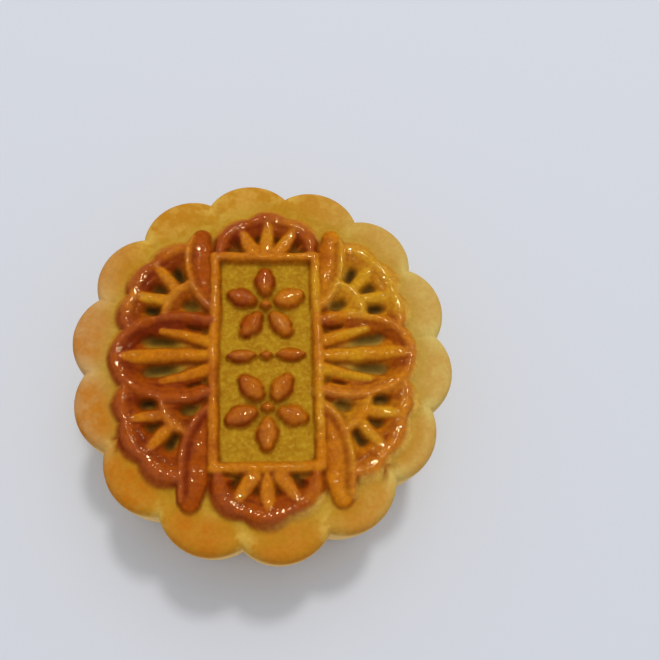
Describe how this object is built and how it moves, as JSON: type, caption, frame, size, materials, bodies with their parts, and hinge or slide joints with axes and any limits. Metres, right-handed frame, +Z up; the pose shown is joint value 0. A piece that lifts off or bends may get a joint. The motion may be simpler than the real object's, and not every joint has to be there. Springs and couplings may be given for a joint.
{
  "type": "five nut mooncake",
  "caption": "Round baked mooncake with a scalloped side and a moulded relief of fans, petals, leaves and rosettes on its top",
  "frame": {"origin": "centre of the flat base's bounding box, on the surface that the cake rests on", "axes": "+Z up out of the moulded top, +Y along the relief's long frame, +X across it"},
  "size_m": [0.0692, 0.072, 0.025],
  "materials": {
    "crust": "baked golden-brown pastry, egg-washed and half glossy on the raised relief"
  },
  "bodies": {
    "root": {"mooncake": "crust"}
  },
  "joints": []
}
